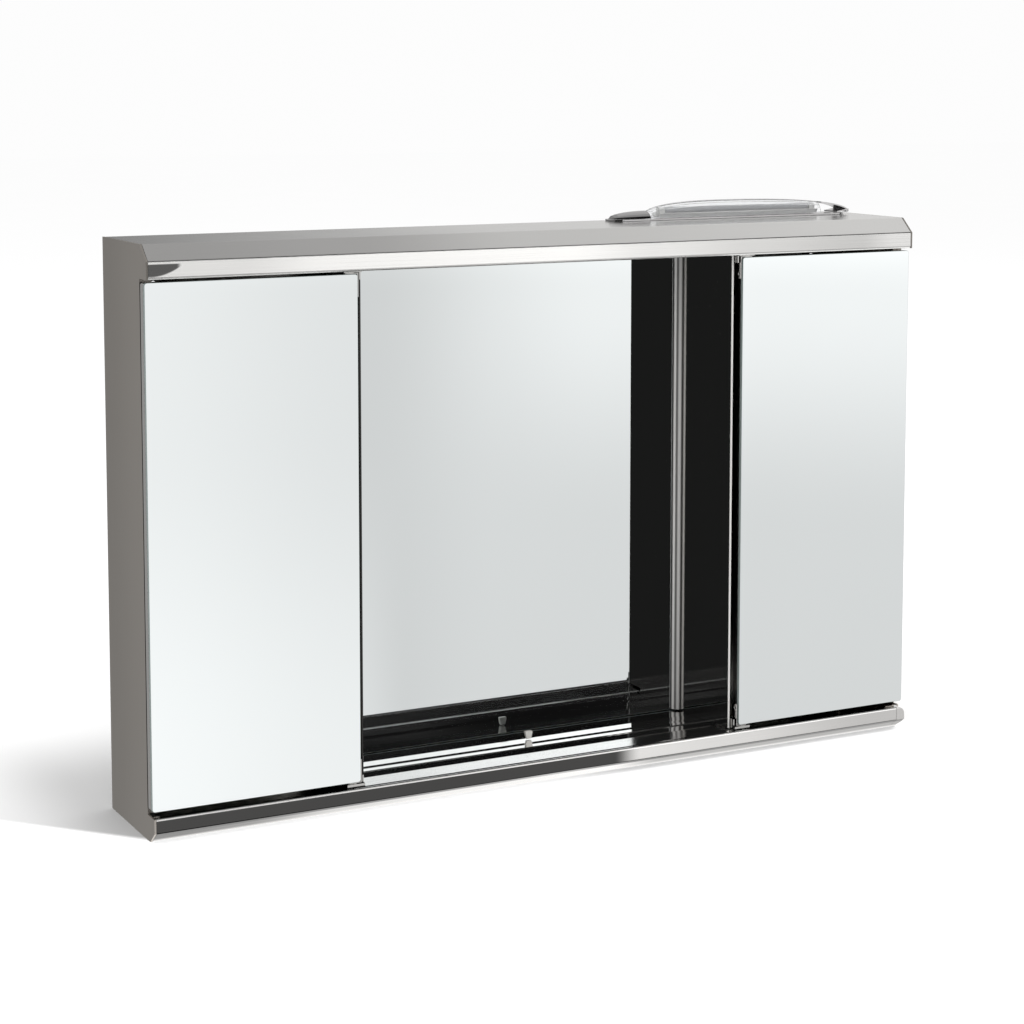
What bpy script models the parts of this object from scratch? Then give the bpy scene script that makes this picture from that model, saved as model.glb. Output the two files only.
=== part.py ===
"""Wall-hung steel medicine cabinet: two mirrored pivot doors, an open niche between them, a lamp on top.

Metres, +Z up. The origin is under the middle of the cabinet, on the plane that its flat bottom rests on.
X runs along the front, from the left end to the right end. Y runs from the front to the wall.
"""

from math import cos, pi, radians, sin, sqrt

import bmesh
import bpy
from mathutils import Matrix, Vector

MM = 0.001

# ---- driving dimensions ----
WIDTH = 760 * MM
HEIGHT = 496.5 * MM
DEPTH = 114 * MM
GAP = 0.3 * MM  # between neighbouring pieces

PLATE = 1.6 * MM  # side panels
SHEET = 1.2 * MM  # folded panels
BEND = 2.2 * MM  # outer radius of a fold
THIN = 0.8 * MM  # door pans and the niche floor

TOP_CHAMFER_DEPTH = 14.8 * MM
TOP_CHAMFER_HEIGHT = 13.3 * MM
TOP_BAND = 15 * MM
TOP_RETURN = 16 * MM
FOOT_CHAMFER_DEPTH = 11.7 * MM
FOOT_CHAMFER_HEIGHT = 9.8 * MM
LIP_TOP = 21.9 * MM
LEDGE_DEPTH = 36 * MM
LEDGE_DROP = 2.3 * MM
BACK_FLANGE = 12 * MM
BACK_RECESS = 3.7 * MM

DOOR_WIDTH = 187.5 * MM
DOOR_BOTTOM = 26.5 * MM
DOOR_TOP = 465.7 * MM
DOOR_FRONT = 5 * MM  # behind the band's face
DOOR_THICK = 10 * MM
GLASS = 3 * MM
DOOR_CORNER = 2.5 * MM
PIVOT_INSET = 6 * MM
PIN_RADIUS = 2 * MM
PIN_CLEARANCE = 0.06 * MM

NICHE_HALF = 186.2 * MM  # centre to the polished face of a divider
HEM = 2.1 * MM
DIVIDER_FRONT = 13.1 * MM
BEAD_RADIUS = 6.5 * MM

SHELF_HEIGHTS = (170 * MM, 322 * MM)

LAMP_LEFT = 100 * MM
LAMP_RIGHT = 366 * MM
LAMP_MIDDLE = 95 * MM  # behind the band's face
LAMP_HALF_WIDTH = 11 * MM
LAMP_RISE = 15.3 * MM

# ---- positions worked out from them ----
HALF = WIDTH / 2
FRONT = -DEPTH / 2
BACK = DEPTH / 2
BAND_TOP = HEIGHT - TOP_CHAMFER_HEIGHT
BAND_BOTTOM = BAND_TOP - TOP_BAND
BACK_SHEET_FRONT = BACK - BACK_RECESS - 1 * MM
MIRROR_BACK = BACK_SHEET_FRONT - GAP
MIRROR_FACE = MIRROR_BACK - GLASS
DOOR_INNER = HALF - DOOR_WIDTH
PIVOT_X = DOOR_INNER + PIVOT_INSET
PIVOT_Y = FRONT + DOOR_FRONT + DOOR_THICK / 2
DOOR_BACK_FACE = FRONT + DOOR_FRONT + DOOR_THICK
FLANGE_FRONT = DOOR_BACK_FACE + 2 * MM
FLANGE_WIDTH = 8.5 * MM
FLOOR_BACK = 17.8 * MM
CATCH_HEIGHT = 246 * MM
SIDES = (("left", -1), ("right", 1))


# ---- materials ----
def material(name, colour, roughness, metallic=0.0, alpha=1.0):
    made = bpy.data.materials.new(name)
    made.use_nodes = True
    shader = made.node_tree.nodes["Principled BSDF"]
    shader.inputs["Base Color"].default_value = (*colour, 1)
    shader.inputs["Roughness"].default_value = roughness
    shader.inputs["Metallic"].default_value = metallic
    shader.inputs["Alpha"].default_value = alpha
    made.diffuse_color = (*colour, alpha)
    return made


# ---- outlines ----
def rounded(points, radius, steps=3):
    """An open path with its inner corners turned into arcs."""
    path = [Vector(points[0])]
    for before, corner, after in zip(points, points[1:], points[2:]):
        corner = Vector(corner)
        start = (Vector(before) - corner).normalized()
        end = (Vector(after) - corner).normalized()
        half = start.angle(end) / 2
        reach = min(radius / abs(sin(half)) * cos(half), (Vector(before) - corner).length * 0.49,
                    (Vector(after) - corner).length * 0.49)
        centre = corner + (start + end).normalized() * (reach / cos(half))
        first = corner + start * reach - centre
        last = corner + end * reach - centre
        sweep = first.angle_signed(last)
        for step in range(steps + 1):
            angle = -sweep * step / steps
            path.append(centre + Matrix.Rotation(angle, 2) @ first)
    path.append(Vector(points[-1]))
    return path


def folded(points, thickness, radius=BEND, steps=3):
    """The closed outline of a folded sheet. Its outer face follows the points, with the metal to their left."""
    outer = rounded(points, radius, steps) if radius else [Vector(p) for p in points]
    inner = []
    for index, point in enumerate(outer):
        before = outer[max(index - 1, 0)]
        after = outer[min(index + 1, len(outer) - 1)]
        arriving = (point - before).normalized() if index else (after - point).normalized()
        leaving = (after - point).normalized() if index < len(outer) - 1 else arriving
        left = Vector((-arriving.y - leaving.y, arriving.x + leaving.x)).normalized()
        lean = left.dot(Vector((-arriving.y, arriving.x)))
        inner.append(point + left * (thickness / lean))
    return outer + inner[::-1]


def rounded_rectangle(low, high, radius, steps=4):
    """A closed outline from its lowest corner to its highest one."""
    outline = []
    corners = ((high[0], high[1], 0), (low[0], high[1], 90), (low[0], low[1], 180), (high[0], low[1], 270))
    for x, y, turn in corners:
        centre_x = x - radius if x == high[0] else x + radius
        centre_y = y - radius if y == high[1] else y + radius
        for step in range(steps + 1):
            angle = radians(turn + 90 * step / steps)
            outline.append((centre_x + radius * cos(angle), centre_y + radius * sin(angle)))
    return outline


def keyhole(x, z, hole, slot, rise, steps=12):
    """A round hole with a narrow slot that goes up from it."""
    start = pi / 2 + 0.5
    turns = [start + step * (2 * pi - 1) / steps for step in range(steps + 1)]
    outline = [(x + hole * cos(angle), z + hole * sin(angle)) for angle in turns]
    outline += [(x + slot * cos(pi * step / 6), z + rise + slot * sin(pi * step / 6)) for step in range(7)]
    return outline


# ---- solids ----
def placed(axis, first, second, along):
    """A point whose first two coordinates lie across the axis, and whose last one lies along it."""
    return {"X": (along, first, second), "Y": (first, along, second), "Z": (first, second, along)}[axis]


def new_object(name, mesh_data, finish, origin=(0, 0, 0)):
    """A mesh from bmesh, with its faces turned out and its origin where it is asked for."""
    bmesh.ops.recalc_face_normals(mesh_data, faces=mesh_data.faces)
    bmesh.ops.translate(mesh_data, vec=-Vector(origin), verts=mesh_data.verts)
    mesh = bpy.data.meshes.new(name)
    mesh_data.to_mesh(mesh)
    mesh_data.free()
    made = bpy.data.objects.new(name, mesh)
    made.location = origin
    mesh.materials.append(finish)
    bpy.context.scene.collection.objects.link(made)
    return made


def prism(name, outline, axis, low, high, finish, origin=(0, 0, 0)):
    """A closed outline extruded along an axis."""
    data = bmesh.new()
    ends = [
        [data.verts.new(placed(axis, point[0], point[1], along)) for point in outline]
        for along in (low, high)
    ]
    data.faces.new(ends[0])
    data.faces.new(ends[1])
    for index in range(len(outline)):
        after = (index + 1) % len(outline)
        data.faces.new((ends[0][index], ends[0][after], ends[1][after], ends[1][index]))
    return new_object(name, data, finish, origin)


def block(name, low, high, finish, origin=(0, 0, 0)):
    outline = [(low[0], low[1]), (high[0], low[1]), (high[0], high[1]), (low[0], high[1])]
    return prism(name, outline, "Z", low[2], high[2], finish, origin)


def turned(name, profile, axis, centre, finish, facets=24, origin=(0, 0, 0)):
    """A closed (radius, along) profile turned round an axis. A ring's profile keeps clear of the axis."""
    data = bmesh.new()
    rings = []
    for radius, along in profile:
        if radius == 0:
            point = placed(axis, centre[0], centre[1], along)
            rings.append([data.verts.new(point)] * facets)
            continue
        rings.append([
            data.verts.new(placed(
                axis,
                centre[0] + radius * cos(2 * pi * step / facets),
                centre[1] + radius * sin(2 * pi * step / facets),
                along,
            ))
            for step in range(facets)
        ])
    for ring, following in zip(rings, rings[1:] + rings[:1]):
        for step in range(facets):
            after = (step + 1) % facets
            corners = []
            for vertex in (ring[step], ring[after], following[after], following[step]):
                if vertex not in corners:
                    corners.append(vertex)
            if len(corners) > 2:
                data.faces.new(corners)
    made = new_object(name, data, finish, origin)
    made.data.shade_smooth()
    made.data.set_sharp_from_angle(angle=radians(35))
    return made


def combined(target, tools, operation):
    """The target joined with, cut by or cut down to its tools, which are used up."""
    for tool in tools:
        tool.hide_render = True
        tool.display_type = "WIRE"
        change = target.modifiers.new("shape", "BOOLEAN")
        change.operation = operation
        change.solver = "EXACT"
        change.object = tool
    bpy.context.view_layer.update()
    graph = bpy.context.evaluated_depsgraph_get()
    shaped = bpy.data.meshes.new_from_object(target.evaluated_get(graph))
    target.modifiers.clear()
    target.data = shaped
    for tool in tools:
        bpy.data.objects.remove(tool)
    return target


def span(side, nearer, further):
    """Two distances from the centre plane, as X from low to high on that side."""
    return tuple(sorted((side * nearer, side * further)))


# ---- casing ----
def side_panel(word, side, finish):
    """A flat end plate with the casing's outline, its front edge set back where the door's edge shows."""
    toe = FRONT if side < 0 else FRONT + 10 * MM
    foot = toe + FOOT_CHAMFER_DEPTH
    outline = [
        (BACK, 0),
        (foot, 0),
        (toe, FOOT_CHAMFER_HEIGHT),
        (toe, LIP_TOP),
        (FLANGE_FRONT, LIP_TOP),
        (FLANGE_FRONT, BAND_BOTTOM),
        (FRONT, BAND_BOTTOM),
        (FRONT, BAND_TOP),
        (FRONT + TOP_CHAMFER_DEPTH, HEIGHT),
        (BACK, HEIGHT),
    ]
    low, high = span(side, HALF - PLATE, HALF)
    plate = prism("side_panel_" + word, outline, "X", low, high, finish)
    low, high = span(side, HALF - PLATE - FLANGE_WIDTH, HALF - PLATE / 2)
    flange = block(
        "flange",
        (low, FLANGE_FRONT, LIP_TOP + 1 * MM),
        (high, FLANGE_FRONT + SHEET, BAND_BOTTOM - 1 * MM),
        finish,
    )
    return combined(plate, [flange], "UNION")


def top_panel(finish):
    """One folded sheet: wall flange, top, chamfer, band and the return that the doors close under."""
    path = [
        (FRONT + TOP_RETURN, BAND_BOTTOM),
        (FRONT, BAND_BOTTOM),
        (FRONT, BAND_TOP),
        (FRONT + TOP_CHAMFER_DEPTH, HEIGHT),
        (BACK, HEIGHT),
        (BACK, HEIGHT - BACK_FLANGE),
    ]
    inside = HALF - PLATE - GAP
    panel = prism("top_panel", folded([(y, z) for y, z in path][::-1], SHEET), "X", -inside, inside, finish)
    holes = [screw_hole(x, HEIGHT - 4 * MM, HEIGHT + 1 * MM, finish) for x in lamp_screw_places()]
    return combined(panel, holes, "DIFFERENCE")


def bottom_panel(finish):
    """One folded sheet: wall flange, floor, chamfer, lip and the creased ledge behind it."""
    path = [
        (BACK, BACK_FLANGE),
        (BACK, 0),
        (FRONT + FOOT_CHAMFER_DEPTH, 0),
        (FRONT, FOOT_CHAMFER_HEIGHT),
        (FRONT, LIP_TOP),
        (FRONT + 3.4 * MM, LIP_TOP - 0.1 * MM),
        (FRONT + 5.4 * MM, LIP_TOP - 0.7 * MM),
        (FRONT + 7.4 * MM, LIP_TOP - 0.4 * MM),
        (FRONT + LEDGE_DEPTH, LIP_TOP - LEDGE_DROP),
        (FRONT + LEDGE_DEPTH, LIP_TOP - LEDGE_DROP - 6 * MM),
    ]
    inside = HALF - PLATE - GAP
    panel = prism("bottom_panel", folded(path[::-1], SHEET, 1.5 * MM), "X", -inside, inside, finish)
    room = block(
        "room for the end cap",
        (RAIL_CAP_LEFT - GAP, FRONT - 1 * MM, -1 * MM),
        (HALF, FRONT + 10 * MM, LIP_TOP + 1 * MM),
        finish,
    )
    return combined(panel, [room], "DIFFERENCE")


RAIL_CAP_LEFT = HALF - 9 * MM


def rail_end_cap(finish):
    """The rounded end of the lower rail, at its right end."""
    profile = [
        (FRONT + 9.7 * MM, FOOT_CHAMFER_HEIGHT * (1 - 9.7 * MM / FOOT_CHAMFER_DEPTH)),
        (FRONT, FOOT_CHAMFER_HEIGHT),
        (FRONT, LIP_TOP),
        (FRONT + 9.7 * MM, LIP_TOP - 0.4 * MM),
    ]
    cap = prism("rail_end_cap", profile, "X", RAIL_CAP_LEFT, HALF, finish)
    radius = 7 * MM
    outline = [(RAIL_CAP_LEFT - 1 * MM, LIP_TOP + 1 * MM), (RAIL_CAP_LEFT - 1 * MM, -1 * MM)]
    for centre_z, turn in ((1 * MM + radius, -90), (LIP_TOP - radius, 0)):
        for step in range(7):
            angle = radians(turn + 15 * step)
            outline.append((HALF - radius + radius * cos(angle), centre_z + radius * sin(angle)))
    outline.append((HALF - radius, LIP_TOP + 1 * MM))
    keep = prism("rounding", outline, "Y", FRONT - 1 * MM, FRONT + 12 * MM, finish)
    return combined(cap, [keep], "INTERSECT")


def hanger_places():
    return [(side * 338 * MM, 440 * MM) for _, side in SIDES]


def back_panel(finish):
    """The sheet behind everything, set in from the wall, with two keyholes and a hole for the cable."""
    inside = HALF - PLATE - GAP
    panel = block(
        "back_panel",
        (-inside, BACK_SHEET_FRONT, SHEET + GAP),
        (inside, BACK_SHEET_FRONT + 1 * MM, HEIGHT - SHEET - GAP),
        finish,
    )
    holes = [
        prism("keyhole", keyhole(x, z, 6 * MM, 3.6 * MM, 15 * MM), "Y", BACK - 12 * MM, BACK, finish)
        for x, z in hanger_places()
    ]
    x, z = gland_place()
    outline = ((0, BACK - 12 * MM), (6 * MM, BACK - 12 * MM), (6 * MM, BACK), (0, BACK))
    holes.append(turned("hole", outline, "Y", (x, z), finish, 20))
    return combined(panel, holes, "DIFFERENCE")


def hanger_plate(word, side, finish):
    """A thicker plate behind each keyhole, which takes the load of the wall screw."""
    x, z = hanger_places()[(side + 1) // 2]
    outline = rounded_rectangle((x - 18 * MM, z - 14 * MM), (x + 18 * MM, z + 32 * MM), 3 * MM)
    plate = prism("hanger_plate_" + word, outline, "Y", MIRROR_BACK - 1.5 * MM, MIRROR_BACK, finish)
    hole = prism("keyhole", keyhole(x, z, 5 * MM, 2.8 * MM, 15 * MM), "Y", FRONT, BACK, finish)
    return combined(plate, [hole], "DIFFERENCE")


def divider(word, side, finish):
    """A polished wall of the niche, notched over the ledge and under the return, with a hem in front."""
    ledge_end = FRONT + LEDGE_DEPTH + 0.4 * MM
    outline = [
        (FRONT + DIVIDER_FRONT + 1 * MM, LIP_TOP + GAP),
        (ledge_end, LIP_TOP + GAP),
        (ledge_end, SHEET + GAP),
        (MIRROR_BACK, SHEET + GAP),
        (MIRROR_BACK, HEIGHT - SHEET - GAP),
        (FRONT + TOP_RETURN + 0.4 * MM, HEIGHT - SHEET - GAP),
        (FRONT + TOP_RETURN + 0.4 * MM, BAND_BOTTOM - GAP),
        (FRONT + DIVIDER_FRONT + 1 * MM, BAND_BOTTOM - GAP),
    ]
    low, high = span(side, NICHE_HALF, NICHE_HALF + SHEET)
    wall = prism("divider_" + word, outline, "X", low, high, finish)
    low, high = span(side, NICHE_HALF, NICHE_HALF + HEM)
    start = FRONT + DIVIDER_FRONT
    hem_outline = rounded_rectangle((low, start), (high, start + 8 * MM), 0.45 * HEM)
    hem = prism("hem", hem_outline, "Z", LIP_TOP + GAP, BAND_BOTTOM - GAP, finish)
    low, high = span(side, NICHE_HALF + SHEET / 2, NICHE_HALF + SHEET + 9 * MM)
    foot = block("foot", (low, MIRROR_BACK - SHEET, 30 * MM), (high, MIRROR_BACK, HEIGHT - 6 * MM), finish)
    return combined(wall, [hem, foot], "UNION")


def niche_floor(finish):
    """A thin sheet pressed into shallow strips that run along the niche, its edges turned down."""
    face = [
        (37.0, 17.0),
        (37.0, 19.0),
        (50.0, 19.1),
        (51.6, 19.9),
        (59.5, 19.3),
        (61.0, 19.0),
        (67.5, 18.9),
        (83.5, 17.7),
        (105.3, 17.8),
    ]
    outline = [(FRONT + y * MM, z * MM) for y, z in face]
    width = NICHE_HALF - GAP
    return prism("niche_floor", folded(outline[::-1], THIN, 0), "X", -width, width, finish)


def niche_mirror(finish):
    half = NICHE_HALF - GAP
    return block(
        "niche_mirror",
        (-half, MIRROR_FACE, FLOOR_BACK + 0.6 * MM),
        (half, MIRROR_BACK, HEIGHT - SHEET - 2 * GAP),
        finish,
    )


def corner_bead(word, side, finish):
    """A quarter-round strip that covers the joint between the niche mirror and a divider."""
    corner_x = NICHE_HALF - GAP
    corner_y = MIRROR_FACE - GAP
    outline = [(side * corner_x, corner_y)]
    for step in range(9):
        angle = pi / 2 * step / 8
        outline.append((side * (corner_x - BEAD_RADIUS * cos(angle)), corner_y - BEAD_RADIUS * sin(angle)))
    bead = prism("corner_bead_" + word, outline, "Z", 19.3 * MM, HEIGHT - SHEET - 2 * GAP, finish)
    bead.data.shade_smooth()
    bead.data.set_sharp_from_angle(angle=radians(35))
    return bead


def mirror_clip(finish):
    """A small clip that widens upwards, standing on the floor's rear strip at the middle of the niche."""
    middle = 9.3 * MM
    foot = FRONT + 78 * MM
    low, high = 18.9 * MM, 26 * MM
    outline = [
        (middle - 2.3 * MM, low),
        (middle + 2.3 * MM, low),
        (middle + 3.7 * MM, high - 1 * MM),
        (middle + 3.2 * MM, high),
        (middle - 3.2 * MM, high),
        (middle - 3.7 * MM, high - 1 * MM),
    ]
    return prism("mirror_clip", outline, "Y", foot, foot + 3 * MM, finish)


def shelf(word, side, level, height, finish):
    """A fixed steel shelf with a raised front edge and a short rear upstand."""
    path = [
        (FRONT + 26 * MM, height + 9 * MM),
        (FRONT + 26 * MM, height),
        (MIRROR_BACK - 2 * MM, height),
        (MIRROR_BACK - 2 * MM, height + 6 * MM),
    ]
    low, high = span(side, NICHE_HALF + HEM + GAP, HALF - PLATE - GAP)
    return prism("shelf_" + word + "_" + level, folded(path, 1 * MM, 1.6 * MM, 2), "X", low, high, finish)


# ---- doors ----
def door_pan(word, side, finish, pivot):
    """The steel tray behind the mirror, open at the back."""
    low, high = span(side, DOOR_INNER, HALF)
    front = FRONT + DOOR_FRONT + GLASS + GAP
    outline = rounded_rectangle((low, DOOR_BOTTOM), (high, DOOR_TOP), DOOR_CORNER)
    pan = prism("door_pan_" + word, outline, "Y", front, DOOR_BACK_FACE, finish, pivot)
    inner = rounded_rectangle(
        (low + THIN, DOOR_BOTTOM + THIN), (high - THIN, DOOR_TOP - THIN), DOOR_CORNER - THIN)
    hollow = prism("hollow", inner, "Y", front + THIN, DOOR_BACK_FACE + 1 * MM, finish)
    return combined(pan, [hollow], "DIFFERENCE")


def door_mirror(word, side, finish, pivot):
    low, high = span(side, DOOR_INNER, HALF)
    outline = rounded_rectangle((low, DOOR_BOTTOM), (high, DOOR_TOP), DOOR_CORNER)
    front = FRONT + DOOR_FRONT
    return prism("door_mirror_" + word, outline, "Y", front, front + GLASS, finish, pivot)


def door_lining(word, side, finish, pivot):
    """The sheet that closes the back of the pan."""
    low, high = span(side, DOOR_INNER + 1.2 * MM, HALF - 1.2 * MM)
    outline = rounded_rectangle((low, DOOR_BOTTOM + 1.2 * MM), (high, DOOR_TOP - 1.2 * MM), 1.5 * MM)
    back = DOOR_BACK_FACE - 0.4 * MM
    return prism("door_lining_" + word, outline, "Y", back - 1 * MM, back, finish, pivot)


def strike_plate(word, side, finish, pivot):
    """The steel plate on the door's back that the magnet holds."""
    low, high = span(side, HALF - 24 * MM, HALF - 12 * MM)
    outline = rounded_rectangle((low, CATCH_HEIGHT - 11 * MM), (high, CATCH_HEIGHT + 11 * MM), 2 * MM)
    back = DOOR_BACK_FACE - 0.4 * MM + GAP
    return prism("strike_plate_" + word, outline, "Y", back, back + 1 * MM, finish, pivot)


def hinge_levels(end):
    """The door's edge at this end, and the direction from it towards the casing."""
    return (DOOR_TOP, 1) if end == "top" else (DOOR_BOTTOM, -1)


def stack(end, nearer, further):
    """Two distances from the door's edge, as Z from low to high at this end."""
    edge, way = hinge_levels(end)
    return tuple(sorted((edge + way * nearer, edge + way * further)))


def hinge_plate(word, side, end, finish, pivot):
    """An angle plate on the door's corner: a rivet head on its long leg, the pivot pin on its short one."""
    edge, way = hinge_levels(end)
    low_z, high_z = stack(end, 0.2 * MM, 0.8 * MM)
    low_x, high_x = span(side, DOOR_INNER - 1.3 * MM, PIVOT_X + 5 * MM)
    depth = (PIVOT_Y - 3.5 * MM, PIVOT_Y + 3.5 * MM)
    name = "hinge_plate_" + word + "_" + end
    plate = block(name, (low_x, depth[0], low_z), (high_x, depth[1], high_z), finish, pivot)
    low_x, high_x = span(side, DOOR_INNER - 1.3 * MM, DOOR_INNER - 0.3 * MM)
    low_z, high_z = stack(end, 0.7 * MM, -19.5 * MM)
    leg = block("leg", (low_x, depth[0], low_z), (high_x, depth[1], high_z), finish)
    face = side * (DOOR_INNER - 1.3 * MM)
    dome = [
        (0, face + side * 0.5 * MM),
        (1.9 * MM, face + side * 0.5 * MM),
        (1.9 * MM, face - side * 0.2 * MM),
        (1.2 * MM, face - side * 0.6 * MM),
        (0, face - side * 0.7 * MM),
    ]
    rivet = turned("rivet", dome, "X", (PIVOT_Y, edge - way * 15.5 * MM), finish, 16)
    low_z, high_z = stack(end, 0.5 * MM, 2.2 * MM)
    outline = ((0, low_z), (PIN_RADIUS, low_z), (PIN_RADIUS, high_z), (0, high_z))
    pin = turned("pin", outline, "Z", (side * PIVOT_X, PIVOT_Y), finish)
    return combined(plate, [leg, rivet, pin], "UNION")


def pivot_bush(word, side, end, finish):
    """A flanged nylon bush that the pin turns in."""
    edge, way = hinge_levels(end)
    hole = PIN_RADIUS + PIN_CLEARANCE
    profile = [
        (hole, edge + way * 0.95 * MM),
        (4.4 * MM, edge + way * 0.95 * MM),
        (4.4 * MM, edge + way * 1.3 * MM),
        (3.2 * MM, edge + way * 1.3 * MM),
        (3.2 * MM, edge + way * 2.2 * MM),
        (hole, edge + way * 2.2 * MM),
    ]
    return turned("pivot_bush_" + word + "_" + end, profile, "Z", (side * PIVOT_X, PIVOT_Y), finish)


def pivot_bracket(word, side, end, finish):
    """A bright angle in the corner between divider and rail, which holds the bush."""
    reach = BAND_BOTTOM - GAP - DOOR_TOP if end == "top" else DOOR_BOTTOM - LIP_TOP - GAP
    low_z, high_z = stack(end, 1.5 * MM, reach)
    low_x, high_x = span(side, NICHE_HALF + HEM + GAP, PIVOT_X + 6.5 * MM)
    depth = (FRONT + DOOR_FRONT, DOOR_BACK_FACE + 0.5 * MM)
    name = "pivot_bracket_" + word + "_" + end
    base = block(name, (low_x, depth[0], low_z), (high_x, depth[1], high_z), finish)
    low_x, high_x = span(side, NICHE_HALF + HEM + GAP, NICHE_HALF + HEM + GAP + 1.2 * MM)
    low_z, high_z = stack(end, -5 * MM, reach)
    upright = block("upright", (low_x, PIVOT_Y - 2 * MM, low_z), (high_x, depth[1], high_z), finish)
    low_z, high_z = stack(end, -2 * MM, reach + 1 * MM)
    outline = ((0, low_z), (3.4 * MM, low_z), (3.4 * MM, high_z), (0, high_z))
    hole = turned("hole", outline, "Z", (side * PIVOT_X, PIVOT_Y), finish)
    return combined(combined(base, [upright], "UNION"), [hole], "DIFFERENCE")


def catch_housing(word, side, finish):
    """The plastic body of the magnetic catch, with a foot that reaches the side panel."""
    low_x, high_x = span(side, HALF - 26 * MM, HALF - PLATE - FLANGE_WIDTH - GAP)
    nose = block(
        "catch_housing_" + word,
        (low_x, FLANGE_FRONT + 0.4 * MM, CATCH_HEIGHT - 13 * MM),
        (high_x, FLANGE_FRONT + 17 * MM, CATCH_HEIGHT + 13 * MM),
        finish,
    )
    low_x, high_x = span(side, HALF - 20 * MM, HALF - PLATE - GAP)
    foot = block(
        "foot",
        (low_x, FLANGE_FRONT + SHEET + GAP, CATCH_HEIGHT - 13 * MM),
        (high_x, FLANGE_FRONT + 17 * MM, CATCH_HEIGHT + 13 * MM),
        finish,
    )
    low_x, high_x = span(side, HALF - 23.5 * MM, HALF - 12.5 * MM)
    pocket = block(
        "pocket",
        (low_x, FLANGE_FRONT - 1 * MM, CATCH_HEIGHT - 10 * MM),
        (high_x, FLANGE_FRONT + 9 * MM, CATCH_HEIGHT + 10 * MM),
        finish,
    )
    return combined(combined(nose, [foot], "UNION"), [pocket], "DIFFERENCE")


def catch_magnet(word, side, finish):
    low_x, high_x = span(side, HALF - 23.2 * MM, HALF - 12.8 * MM)
    return block(
        "catch_magnet_" + word,
        (low_x, FLANGE_FRONT - 0.5 * MM, CATCH_HEIGHT - 9.7 * MM),
        (high_x, FLANGE_FRONT + 8.7 * MM, CATCH_HEIGHT + 9.7 * MM),
        finish,
    )


def door_bumper(word, side, end, finish):
    """A rubber button on the side panel's flange, which the closed door rests on."""
    height = DOOR_TOP - 7 * MM if end == "top" else DOOR_BOTTOM + 7 * MM
    back = FLANGE_FRONT - 0.3 * MM
    profile = [
        (0, back),
        (3.6 * MM, back),
        (3.6 * MM, back - 0.7 * MM),
        (2.6 * MM, back - 1.3 * MM),
        (0, back - 1.4 * MM),
    ]
    centre = (side * (HALF - PLATE - FLANGE_WIDTH / 2), height)
    return turned("door_bumper_" + word + "_" + end, profile, "Y", centre, finish, 20)


def door(word, side, finishes):
    """Everything that swings with one door hangs from an empty on its pivot axis."""
    pivot = Vector((side * PIVOT_X, PIVOT_Y, (DOOR_BOTTOM + DOOR_TOP) / 2))
    axis = bpy.data.objects.new("door_axis_" + word, None)
    axis.location = pivot
    bpy.context.scene.collection.objects.link(axis)
    pieces = [
        door_mirror(word, side, finishes["mirror"], pivot),
        door_pan(word, side, finishes["brushed"], pivot),
        door_lining(word, side, finishes["brushed"], pivot),
        strike_plate(word, side, finishes["bright"], pivot),
    ]
    pieces += [hinge_plate(word, side, end, finishes["bright"], pivot) for end in ("top", "bottom")]
    for piece in pieces:
        piece.parent = axis
        piece.location = (0, 0, 0)


# ---- lamp ----
LAMP_FLOOR = HEIGHT + GAP + 1.5 * MM + GAP
COVER_LEFT = 141 * MM
COVER_RIGHT = 333 * MM
LAMP_CREST = 222 * MM
BOW_START = 2.5 * MM
BOW_FULLNESS = 2.4


def lamp_screw_places():
    return (LAMP_LEFT + 22 * MM, LAMP_RIGHT - 22 * MM)


def screw_hole(x, low, high, finish):
    """A cutter for one of the lamp's screws."""
    outline = ((0, low), (2.4 * MM, low), (2.4 * MM, high), (0, high))
    return turned("hole", outline, "Z", (x, FRONT + LAMP_MIDDLE), finish, 16)


def bow_height(x):
    """The height of the lamp's bow above its base: a steep rise on the left, a long fall on the right."""
    if x < LAMP_CREST:
        way = (LAMP_CREST - x) / (LAMP_CREST - COVER_LEFT)
        start = BOW_START
    else:
        way = (x - LAMP_CREST) / (LAMP_RIGHT - LAMP_CREST)
        start = 0
    return start + (LAMP_RISE - start) * (1 - min(way, 1) ** BOW_FULLNESS) ** (1 / BOW_FULLNESS)


def arch(half_width, height, steps=12):
    """Half an ellipse across the lamp, from its front edge over to its rear edge."""
    return [(-half_width * cos(pi * step / steps), height * sin(pi * step / steps)) for step in range(steps + 1)]


def lamp_cover(finish):
    """The clear bow: a thin half-tube, open underneath and at its ends."""
    wall = 1.1 * MM
    data = bmesh.new()
    middle = FRONT + LAMP_MIDDLE
    stations = 12
    rising = [LAMP_CREST - (LAMP_CREST - COVER_LEFT) * cos(pi / 2 * step / stations) for step in range(stations)]
    falling = [LAMP_CREST + (COVER_RIGHT - LAMP_CREST) * step / stations for step in range(stations + 1)]
    rows = []
    for x in rising + falling:
        height = bow_height(x)
        outer = arch(LAMP_HALF_WIDTH, height)
        inner = arch(LAMP_HALF_WIDTH - wall, height - wall)[::-1]
        rows.append([data.verts.new((x, middle + y, LAMP_FLOOR + z)) for y, z in outer + inner])
    for row, following in zip(rows, rows[1:]):
        for index in range(len(row)):
            after = (index + 1) % len(row)
            data.faces.new((row[index], row[after], following[after], following[index]))
    for row in (rows[0], rows[-1]):
        half = len(row) // 2
        for index in range(half - 1):
            data.faces.new((row[index], row[index + 1], row[-2 - index], row[-1 - index]))
    made = new_object("lamp_cover", data, finish)
    made.data.shade_smooth()
    made.data.set_sharp_from_angle(angle=radians(50))
    return made


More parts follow.
